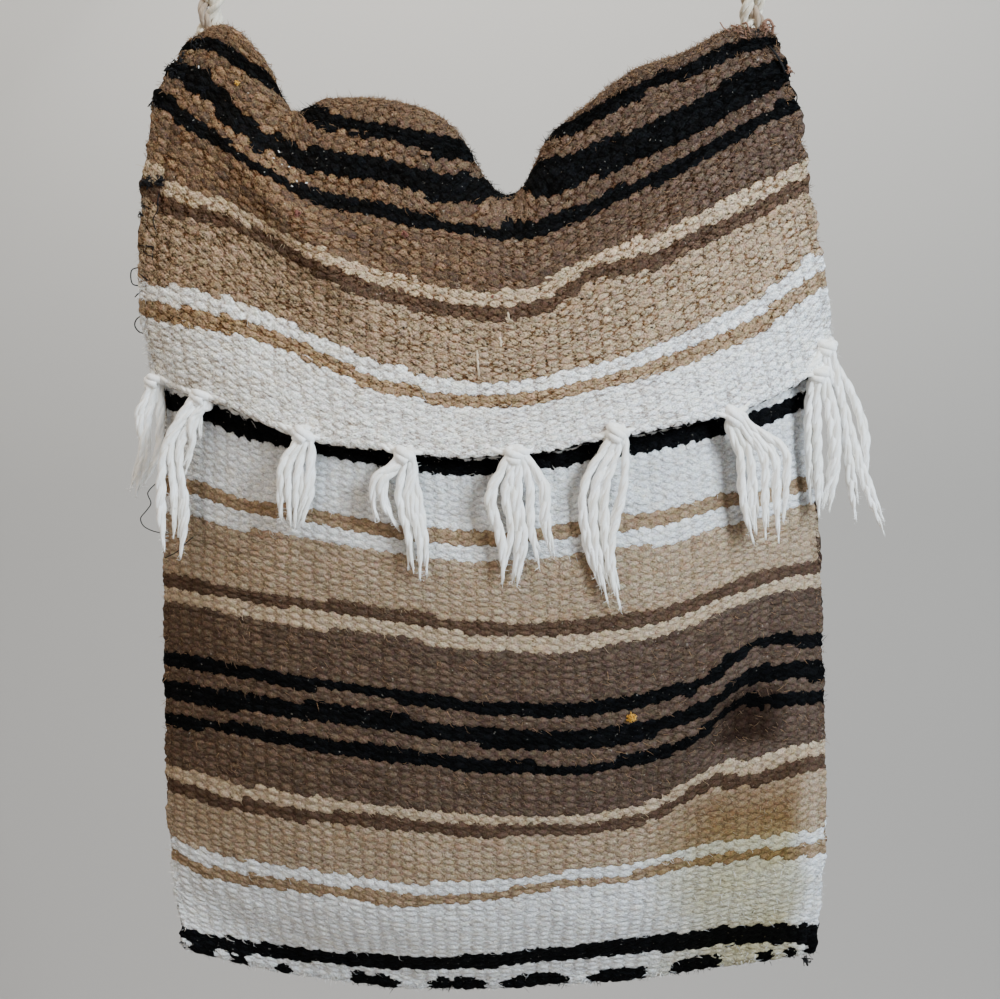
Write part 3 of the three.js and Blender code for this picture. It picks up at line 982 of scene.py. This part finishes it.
def strip_lay(warp, pick):
    """How deep the flap's left seam draws the cloth in, and how far the stripes slip: by the tugs, and
    further outside the seam. At the bottom fold they meet those of the front."""
    line = seam_warp(pick)
    within = np.clip((pick - 36) / 3, 0, 1) * np.clip((84 - pick) / 3, 0, 1)
    depth = 1.0 * np.exp(-((warp - line) / 0.5) ** 2) * within
    bulge = 1.0 + 1.4 * np.exp(-((pick - 56) / 8) ** 2)
    outside = bulge * np.clip((line + 0.2 - warp) / 0.4, 0, 1) * within
    _, front_slip = front_lay(warp, np.full_like(warp, FRONT_PICKS[0]))
    at_fold = (front_slip + 1.5) * np.clip((pick - 285) / 46, 0, 1)
    return depth, drawn_up(FLAP_TUGS, warp, pick) + outside + at_fold


# The fringe: warp ends drawn together in knots along the hem. Columns are the knot's place, and for each
# strand how far it lies aside of the knot a third of the way down, two thirds down and at its tip, and how
# far it falls.
TASSELS = records(
    "node side below strands",
    ("tassel_1", -149.8, 153.8, [
        (-6.5, -6.6, -11.8, 49), (-3, -5, -9.2, 55), (2.3, 0.5, -7, 50),
    ]),
    ("tassel_2", -126.1, 159.9, [
        (-16, -17.6, -17.3, 67), (-12.5, -11.8, -12.2, 65), (-9, -8, -11, 72), (-3.5, -4, -8, 33),
        (0.6, 0, 0, 19),
    ]),
    ("tassel_3", -79.4, 174.9, [
        (-8.5, -10.2, -9.3, 40), (-5.9, -6.1, -5.7, 41), (-1.5, -1.3, -3.2, 44), (3.6, 1.9, -1.5, 42),
    ]),
    ("tassel_4", -36.2, 182.5, [
        (-12, -13.4, -12.3, 28), (-9.2, -8.8, -3.4, 32), (-2.3, 1.2, 3, 50), (4.2, 7.6, 8.4, 51),
        (1.3, 5.5, 5.5, 52),
    ]),
    ("tassel_5", 10.2, 182.0, [
        (-10, -6.7, -5.9, 57), (-1.3, -0.4, -1.3, 59), (-5.5, -3, -5, 55), (0, 3, 1, 56),
        (5.9, 6.1, 9.2, 47), (12.1, 12.1, 14.5, 48),
    ]),
    ("tassel_6", 52.2, 173.5, [
        (-14, -13.4, -6.5, 70), (-9.2, -9.6, -3.3, 72), (-5.2, -4.6, 1.3, 77), (2.5, -2.9, -1, 70),
    ]),
    ("tassel_7", 103.4, 167.3, [
        (1.9, 2.6, 8.6, 54), (6, 7.7, 10.5, 51), (12, 13, 13.7, 52), (15.9, 17.8, 18.7, 54),
        (20, 22, 20.5, 46),
    ]),
    ("tassel_8", 143.8, 150.6, [
        (-5.6, -4.5, -2, 57), (-0.9, 0, 1, 64), (4.5, 6.3, 3, 69), (7.2, 8.1, 5, 61),
    ]),
    ("tassel_9", 147.5, 139.0, [
        (8, 16.6, 27, 84), (10, 17.7, 19, 62), (7, 10, 15, 80),
    ]),
)
PLY = 1.1                     # radius of a ply of the fringe yarn
LAY = 0.6                     # how far its plies lie from the yarn's middle
YARNS = 3                     # yarns that hang together in each strand
GATHERED = (-11.0, -6.5, -2.0, 3.0, 7.5)  # how far aside of a knot its warps leave the hem


def hang_yarn(pile, knot, spread, strand, luck):
    """One plied yarn of a strand, drawn to a point at its tip, with stray hairs along it."""
    third, two_thirds, tip, fall = strand
    fall = fall * luck.uniform(0.84, 1.03)
    forth = luck.uniform(-1.6, 0.8)
    stray = luck.normal(0, 0.6, 4)
    path = through([
        knot + (spread * 0.5, forth * 0.3, 0.5),
        knot + (spread + 0.15 * third + 0.5 * stray[0], forth - 0.3, -4.5),
        knot + (third + stray[1], forth - 1.2, -0.34 * fall),
        knot + (two_thirds + stray[2], forth - 1.0, -0.68 * fall),
        knot + (tip + stray[3], forth - 0.6, -fall),
    ], 1.2)
    part = np.linspace(0, 1, len(path))
    thin = np.clip((1 - part) * fall / 16 + 0.12, 0, 1)
    size = luck.uniform(0.85, 1.2)
    lay = LAY * size * (0.3 + 0.7 * thin)
    pile.twisted(path, 2, PLY * size * thin, lay, 17.0, 6, start=luck.uniform())
    count = int(fall)
    root = path[luck.integers(4, len(path), count)]
    way = unit(luck.normal(0, 1, (count, 3)) + (0, 0, -0.6)) * luck.uniform(1.4, 3.4, count)[:, None]
    bend = root + 0.5 * way + luck.normal(0, 0.4, (count, 3))
    pile.spikes(root, bend, root + way, luck.uniform(0.07, 0.13, count), np.zeros((count, 2)))


def make_tassel(row, finish, seed):
    """Warps gathered from the hem, a wrapped knot, and the strands that hang from it."""
    luck = np.random.default_rng(seed)
    across = np.array((row["side"] / (HALF_WIDTH + 3) + 1) / 2)
    hem, _, _, _ = STRIP.frames(across, np.array(0.0))
    knot = np.array([row["side"], hem[1] - 2.0, -row["below"]])
    pile = Pile()
    for reach in GATHERED:
        share = np.clip(across + (reach + luck.uniform(-1, 1)) / (2 * HALF_WIDTH), EDGE, 1 - EDGE)
        start, _, _, _ = STRIP.frames(share, np.array(1.4))
        bend = start * 0.45 + knot * 0.55 + (0, -0.6, luck.uniform(-0.6, 0.8))
        path = through([start - (0, 0.4, 0), bend, knot + (0.1 * reach, 0.3, 1.5), knot], 1.2)
        pile.twisted(path, 2, PLY * 0.85, LAY * 0.8, 10.0, 6, start=luck.uniform())
    for k, strand in enumerate(row["strands"]):
        spread = (k - (len(row["strands"]) - 1) / 2) * 1.7
        for _ in range(YARNS):
            hang_yarn(pile, knot, spread, strand, luck)
    turns = np.linspace(0, 1.7, 46)
    lean = luck.uniform(-1.2, 1.2)
    round_knot = 2 * math.pi * turns + 0.6
    wrap = np.stack([
        2.9 * np.cos(round_knot),
        2.0 * np.sin(round_knot),
        2.0 - 2.4 * turns + lean * np.cos(round_knot),
    ], axis=-1)
    pile.twisted(knot + wrap, 2, 1.75, 0.95, 15.0, 8, beside=(0, 0, 1), start=luck.uniform())
    made = pile.piece(f"fringe_{row['node']}", finish)
    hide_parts(row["node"])
    return made


# Stitches and loose threads

SEAM_STEP = 7.0               # spacing of the overcast stitches
SEAM_INSET = 4.0              # how far they reach in from the edge
SEAM_THREAD = 0.45            # radius of their thread

# Tufts of dark wool along the seam inside the flap's left edge
SEAM_TUFTS = records(
    "warp woven spread hairs",
    (2.6, 94, 1.7, 50),
    (0.6, 91, 2.3, 70),
    (0.3, 83, 1.2, 25),
    (0.2, 80, 1.2, 25),
)


def seam_thread(edge, from_along, to_along, pile, seed):
    """Overcast stitches round a side edge of the pouch: in through the front, round the edge and out."""
    luck = np.random.default_rng(seed)
    across = 0.0 if edge < 0 else 1.0
    count = int(abs(to_along - from_along) / SEAM_STEP)
    stations = np.linspace(from_along, to_along, count + 1)
    at = FRONT.points(np.full(len(stations), across), stations)
    out = SEAM + CLOTH / 2 + SEAM_THREAD * 0.6
    path = []
    for k in range(count):
        x, _, z = at[k]
        z_next = at[k + 1][2]
        depth = SEAM_INSET * luck.uniform(0.75, 1.25)
        sway = luck.uniform(-0.8, 0.8)
        path += [
            (x - edge * depth, -out, z + sway),
            (x + edge * 0.9, -SEAM, z + 0.2 * (z_next - z) + sway),
            (x + edge * 1.7, 0, z + 0.3 * (z_next - z) + sway),
            (x + edge * 0.9, SEAM, z + 0.4 * (z_next - z) + sway),
            (x - edge * depth, out, z + 0.6 * (z_next - z)),
            (x - edge * depth * 0.9, 0, z + 0.8 * (z_next - z)),
        ]
    pile.tube(through(path, 0.9), SEAM_THREAD, 5, beside=(0.3, 0.2, 1))


def running_stitches(pile, seed):
    """The dark thread that wanders along the seam inside the flap's left edge, in and out of the cloth, with
    a few turns round the edge, and tufts of dark wool."""
    luck = np.random.default_rng(seed)
    woven = np.arange(56, 96, 1.1)
    warp = seam_warp(woven / PICK) + 0.35 * drift(seed, woven, woven * 0, 4, 1)
    share = EDGE + warp / WARPS
    place, normal, _, _ = STRIP.on_weave(share, woven)
    lift = CLOTH / 2 - 0.55 + 1.1 * drift(seed + 1, woven, woven * 0, 3.5, 1)
    pile.tube(through(place + lift[:, None] * normal, 0.8), 0.27, 5, beside=(1, 0, 0))
    for start in (58, 67, 71, 83, 90):
        line = seam_warp(start / PICK)
        share = EDGE + np.array([line, line * 0.6, 0.5, 0, 0, 0, 0.8]) / WARPS
        woven = start + np.linspace(0, luck.uniform(-4.0, 5.0), 7)
        place, normal, sideways, _ = STRIP.on_weave(share, woven)
        lift = np.array([0.3, 1.0, 1.0, 0.75, 0, -0.75, -1.05]) * (CLOTH / 2 + 0.25)
        aside = np.array([0, 0, 0, 0.8, 1.5, 0.8, 0])
        path = place + lift[:, None] * normal - aside[:, None] * sideways
        pile.tube(through(path, 0.8), luck.uniform(0.2, 0.35), 5, beside=(0.3, 0.2, 1))
    for row in SEAM_TUFTS:
        share = np.array(EDGE + row["warp"] / WARPS)
        place, normal, _, _ = STRIP.on_weave(share, row["woven"])
        add_tuft(pile, place + CLOTH / 2 * normal, row["spread"], row["hairs"], luck)


def add_tuft(pile, middle, spread, hairs, luck):
    """A small tangle of stray hairs."""
    for _ in range(hairs):
        start = middle + luck.normal(0, spread * 0.45, 3)
        way = unit(luck.normal(0, 1, 3)) * spread
        curl = luck.normal(0, spread * 0.35, 3)
        path = [start, start + way * 0.5 + curl, start + way]
        pile.tube(through(path, 0.9), luck.uniform(0.18, 0.34), 4, beside=ASKEW)


def add_tufts(pile, rows, luck):
    for row in rows:
        add_tuft(pile, np.array(row["middle"]), row["spread"], row["hairs"], luck)


# Loose ends: threads that have come away, by their radius and points, and tufts of stray wool
LOOSE_THREADS = [
    (0.3, [
        (-150, -6, -104), (-159.1, -7, -104.8), (-160.1, -7.5, -108.3), (-158.9, -7, -111.8),
        (-150, -6, -111.4),
    ]),
    (0.3, [(-150.9, -7.5, -114), (-155.9, -8, -114.9), (-158.6, -7, -117.1)]),
    (0.3, [
        (-151, -7, -123.7), (-157.5, -8, -126.4), (-159, -7, -129.9), (-156.4, -6, -133),
        (-152, -6.5, -131.7),
    ]),
    (0.25, [
        (-146, -9, -196), (-154.1, -12, -203.6), (-152.7, -13, -208.5), (-155.2, -12, -212.1),
        (-158, -11, -215.7), (-156.3, -11, -219.4), (-150.1, -10, -222.1), (-145, -6, -222),
    ]),
    (0.25, [(-132, -16, -222), (-136.5, -20, -225.7), (-140.1, -20, -229.3), (-146, -18, -232.4)]),
    (0.22, [
        (-131, -4, -13), (-131.3, -6, -8), (-129.8, -6, -5.2), (-127.2, -6, -4.6), (-125.4, -6, -7.4),
        (-126, -4, -12),
    ]),
    (0.5, [(120, -4, -8), (121.8, -6, -10.3), (124.1, -7, -13.7), (126.5, -7, -18), (127.7, -5, -20.9)]),
    (0.3, [(129.5, -5, -25), (131.2, -7, -27.5), (132.8, -7, -30.4), (132.2, -6, -34.3)]),
]
TUFT_COLUMNS = "middle spread hairs"
BLACK_TUFTS = records(
    TUFT_COLUMNS,
    ((-140, -4.5, -20), 2.6, 60),
    ((-136, -5, -15), 2.0, 40),
    ((-147.5, -5, -34), 2.2, 45),
    ((-128, -4, -10), 2.2, 45),
    ((115.6, -3, -4), 1.8, 45),
    ((-145, -2, -419), 1.6, 30),
    ((147.5, -2, -427), 1.5, 30),
)
BROWN_WISPS = [
    (0.35, [(113, -2, -7), (110, -4, -3), (107.1, -4, -0.5), (104, -3, 0.6)]),
    (0.3, [(111, -2, -6.5), (106, -4, -3.5), (101, -4, -1), (99.2, -3, 1.8)]),
    (0.4, [(114, -2, -6), (111.5, -5, -1.5), (110.5, -4, 1.5), (109, -3, 1)]),
    (0.6, [
        (117, 0, -7), (118, -3.5, -2), (118.2, -4, 1.5), (120.3, -4, 2.8), (122.2, -4, 0), (122, -3, -4.6),
    ]),
]
BROWN_TUFTS = records(
    TUFT_COLUMNS,
    ((119.5, -3.5, -1), 2.2, 50),
    ((108, -2.5, -3), 2.6, 60),
    ((129, -4, -19), 1.8, 40),
)


def make_stitches(finish):
    """Seam stitches, loose threads and tufts in black."""
    pile = Pile()
    seam_thread(edge=-1, from_along=338, to_along=236, pile=pile, seed=11)
    seam_thread(edge=1, from_along=338, to_along=262, pile=pile, seed=12)
    running_stitches(pile, 13)
    for radius, points in LOOSE_THREADS:
        pile.tube(through(points, 0.8), radius, 5, beside=(0.2, 0.9, 0.3))
    add_tufts(pile, BLACK_TUFTS, np.random.default_rng(14))
    return pile.piece("black_stitches", finish)


# Flecks of stray wool on the cloth, each by its place on a panel
FLECK_COLUMNS = "panel across woven spread hairs"
OCHRE_FLECKS = records(FLECK_COLUMNS, (FRONT, 0.695, 140, 1.4, 70), (STRIP, 0.11, 139, 0.7, 20))
RED_FLECKS = records(
    FLECK_COLUMNS,
    (STRIP, 0.395, 111, 1.0, 30),
    (STRIP, 0.235, 109, 1.1, 30),
    (STRIP, 0.527, 91, 0.6, 12),
)
WHITE_FLECKS = records(
    FLECK_COLUMNS,
    (STRIP, 0.19, 126, 0.4, 5),
    (STRIP, 0.185, 123, 0.3, 4),
    (STRIP, 0.2, 123, 0.3, 4),
    (STRIP, 0.21, 124, 0.3, 4),
    (STRIP, 0.22, 118, 0.3, 4),
    (STRIP, 0.225, 121, 0.3, 4),
    (STRIP, 0.24, 122, 0.3, 4),
    (STRIP, 0.05, 137, 0.3, 4),
)

# Where the weft has worn thin and a pale warp shows through
BARE_WARPS = records(
    "across from_woven to_woven",
    (0.500, 57, 68),
    (0.534, 70, 74),
    (0.548, 81, 86),
)


def make_flecks(name, rows, finish, seed):
    luck = np.random.default_rng(seed)
    pile = Pile()
    for row in rows:
        place, normal, _, _ = row["panel"].on_weave(np.array(row["across"]), row["woven"])
        add_tuft(pile, place + (CLOTH / 2 + 0.3) * normal, row["spread"], row["hairs"], luck)
    return pile.piece(name, finish)


def make_bare_warps(finish):
    pile = Pile()
    luck = np.random.default_rng(19)
    for row in BARE_WARPS:
        woven = np.linspace(row["from_woven"], row["to_woven"], 9)
        across = row["across"] + luck.normal(0, 0.0008, len(woven))
        place, normal, _, _ = STRIP.on_weave(across, woven)
        lift = CLOTH / 2 + 0.55 * np.sin(np.linspace(0, math.pi, len(woven))) - 0.3
        pile.tube(through(place + lift[:, None] * normal, 0.8), luck.uniform(0.4, 0.6), 6, beside=(1, 0, 0))
    return pile.piece("bare_warps", finish)


def make_wisps(finish):
    pile = Pile()
    for radius, points in BROWN_WISPS:
        pile.tube(through(points, 0.8), radius, 6, beside=(0.2, 0.9, 0.3))
    add_tufts(pile, BROWN_TUFTS, np.random.default_rng(18))
    return pile.piece("brown_wisps", finish)


# Loose wool hairs

EDGE_HAIRS = 0.1              # share of the hairs that stand along the side edges
EDGE_BAND = 0.02              # share of half the width that they stand in


def make_fuzz(name, panel, picks, count, finish, seed, crowd, fit):
    """Hairs on the cloth: most lie along the yarn, some stand off it, and more stand where the crowd says."""
    luck = np.random.default_rng(seed)
    pick = luck.uniform(picks[0], picks[1], count)
    across = luck.uniform(EDGE, 1 - EDGE, count)
    chance = luck.uniform(size=count)
    at_edge = chance < EDGE_HAIRS
    at_crowd = (chance > EDGE_HAIRS) & (chance < EDGE_HAIRS + crowd["share"])
    near_edge = np.where(across < 0.5, EDGE + across * EDGE_BAND, 1 - EDGE - (1 - across) * EDGE_BAND)
    across = np.where(at_edge, near_edge, across)
    pick = np.where(at_crowd, crowd["pick"](across) + luck.normal(0, crowd["spread"], count), pick)
    pick = np.clip(pick, picks[0], picks[1])
    place, normal, sideways, upward = panel.on_weave(across, pick * PICK)
    standing = at_edge | at_crowd | (chance > 0.8)
    turn = np.where(standing, luck.uniform(0, 2 * math.pi, count), luck.normal(-0.5, 0.5, count))
    lean = np.cos(turn)[:, None] * sideways + np.sin(turn)[:, None] * upward
    short = np.minimum(0.7 + luck.gamma(2.0, 0.4, count), 3.2)
    long = luck.uniform(2.0, 4.5, count)
    reach = np.where(standing, short, long)[:, None]
    rise = luck.uniform(0.4, 1.0, count)[:, None]
    curl = luck.normal(0, 0.3, (count, 3)) * reach
    bed = place + (CLOTH / 2 + 0.15) * normal
    up_at_bend = np.where(standing[:, None], 0.5 * rise * reach, 0.45 + 0.35 * rise)
    up_at_tip = np.where(standing[:, None], rise * reach, 0.1 + 0.5 * rise)
    bend = bed + 0.5 * reach * lean + up_at_bend * normal + curl * 0.4
    tip = bed + reach * lean + up_at_tip * normal + np.where(standing[:, None], curl, 0)
    warp = (across - EDGE) / (1 - 2 * EDGE) * WARPS
    _, slip = fit(warp, pick)
    marks = np.stack([warp, pick - slip], axis=-1)
    pile = Pile()
    thick = luck.uniform(0.06, 0.12, count) * np.where(at_edge | at_crowd, 1.5, 1.0)
    pile.spikes(bed, bend, tip, thick, marks)
    return pile.piece(name, finish)


# Floor, backdrop and lights

STAGE_HALF = 4.0              # metres from the middle of the floor to its sides
FLOOR_START = -6.3            # where the floor starts, in front of the bag
FLOOR_HEIGHT = -1.5
WALL = 1.7                    # where the wall stands, behind the bag
WALL_TOP = 3.0
BEND = 0.8                    # radius in which the floor bends up into the wall
BEND_STEPS = 16


def make_stage():
    turn = np.linspace(0, math.pi / 2, BEND_STEPS + 1)
    bend = zip(WALL - BEND + BEND * np.sin(turn), FLOOR_HEIGHT + BEND - BEND * np.cos(turn))
    profile = [(FLOOR_START, FLOOR_HEIGHT), *bend, (WALL, WALL_TOP)]
    points = [(x, y, z) for x in (-STAGE_HALF, STAGE_HALF) for y, z in profile]
    mesh = bpy.data.meshes.new("studio_sweep")
    mesh.from_pydata(points, [], grid_faces(0, 2, len(profile), True))
    mesh.polygons.foreach_set("use_smooth", np.ones(len(mesh.polygons), bool))
    sweep = bpy.data.objects.new("studio_sweep", mesh)
    bpy.context.collection.objects.link(sweep)
    finish = Finish("pale_sweep", roughness=0.9)
    where, spot = finish.place()
    # The sweep is painted darker towards its bottom, a painted shade with a soft wobble.
    shade_wobble = finish.noise(where, 1.2, 1.0) * 0.3
    colour = finish.mix(finish.ramp(spot[2] + shade_wobble, -1.3, 0.5), srgb(177, 175, 173), srgb(215, 212, 207))
    finish.paint(colour)
    sweep.data.materials.append(finish.material)


LIGHTS = records(
    "name place aim size power colour",
    ("key", (1.15, -1.1, 0.3), (0, 0, -0.5), 0.7, 62, (0.8, 0.91, 1.0)),
    ("fill", (-1.0, -1.5, -0.4), (0, 0, -0.5), 1.2, 9, (1.0, 0.86, 0.7)),
    ("top", (-0.6, -0.4, 1.2), (0, 0, -0.4), 0.8, 22, (1.0, 0.88, 0.72)),
    ("backdrop", (0.0, 1.0, 1.2), (0, 1.7, 0.4), 1.0, 21.5, (1.0, 0.96, 0.91)),
    ("behind", (-0.9, 1.1, 0.5), (0, 0, -0.4), 1.0, 6, (1.0, 1.0, 1.0)),
)


def make_lights():
    for row in LIGHTS:
        data = bpy.data.lights.new(row["name"], "AREA")
        data.size = row["size"]
        data.energy = row["power"]
        data.color = row["colour"]
        light = bpy.data.objects.new(row["name"], data)
        bpy.context.collection.objects.link(light)
        light.location = row["place"]
        aim = np.array(row["aim"]) - np.array(row["place"])
        tilt = math.atan2(math.hypot(aim[0], aim[1]), -aim[2])
        turn = math.atan2(-aim[0], aim[1])
        light.rotation_euler = (tilt, 0, turn)
    world = bpy.data.worlds.new("studio")
    world.use_nodes = True
    backing = world.node_tree.nodes["Background"]
    backing.inputs["Color"].default_value = (0.93, 0.95, 1.0, 1.0)
    backing.inputs["Strength"].default_value = 0.15
    bpy.context.scene.world = world


# The bag

place_camera()
brown_strand = (srgb(176, 156, 134), srgb(138, 118, 98))
make_strap(yarn_finish("strap_yarn", srgb(226, 218, 200), srgb(198, 186, 163), brown_strand))

# One wool in two copies: the flap's is painted brighter, as painted light, and the front's darker, as painted
# shade.
flap_wool = cloth_finish("striped_wool", contrast=1.9, painted_light_gain=1.16, left_warmth=0.85, stained_and_shaded=False)
strip = woven_piece("woven_flap_and_back", STRIP, STRIP_PICKS, 100, flap_wool, strip_lay)
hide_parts("flap", "back_panel")
front_wool = cloth_finish("striped_wool_stained", contrast=1.0, painted_light_gain=1.04, left_warmth=0.2, stained_and_shaded=True)
front = woven_piece("woven_front", FRONT, FRONT_PICKS, 200, front_wool, front_lay)
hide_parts("front_panel")

fringe_yarn = yarn_finish("fringe_yarn", srgb(255, 255, 255), srgb(243, 241, 234))
fringe = [make_tassel(row, fringe_yarn, 300 + i) for i, row in enumerate(TASSELS)]
stitches = make_stitches(thread_finish("black_thread", srgb(8, 9, 10), srgb(30, 30, 33)))
wisps = make_wisps(thread_finish("brown_wool", srgb(112, 82, 66), srgb(150, 116, 98)))
bare_wool = yarn_finish("bare_warp_wool", srgb(208, 192, 166), srgb(172, 152, 126))
ochre_wool = thread_finish("ochre_wool", srgb(190, 138, 48), srgb(226, 178, 84))
red_wool = thread_finish("red_wool", srgb(118, 72, 62), srgb(146, 98, 86))
white_wool = thread_finish("white_wool", srgb(214, 212, 206), srgb(240, 240, 236))
flecks = [
    make_bare_warps(bare_wool),
    make_flecks("ochre_flecks", OCHRE_FLECKS, ochre_wool, 15),
    make_flecks("red_flecks", RED_FLECKS, red_wool, 16),
    make_flecks("white_flecks", WHITE_FLECKS, white_wool, 17),
]

hairs = fuzz_finish()
ridge = {"share": 0.35, "spread": 3.5, "pick": lambda across: section_at(across)["over"] / PICK}
fold = {"share": 0.15, "spread": 2.0, "pick": lambda across: np.full(across.shape, -1.0)}
nowhere = {"share": 0.0, "spread": 1.0, "pick": lambda across: across}
flap_hairs = make_fuzz("hairs_on_flap", STRIP, (10.5, 100), 14000, hairs, 400, ridge, strip_lay)
back_hairs = make_fuzz("hairs_on_back", STRIP, (100, 331), 6000, hairs, 450, nowhere, strip_lay)
front_hairs = make_fuzz("hairs_on_front", FRONT, (-3, 168), 9000, hairs, 500, fold, front_lay)

make_stage()
make_lights()
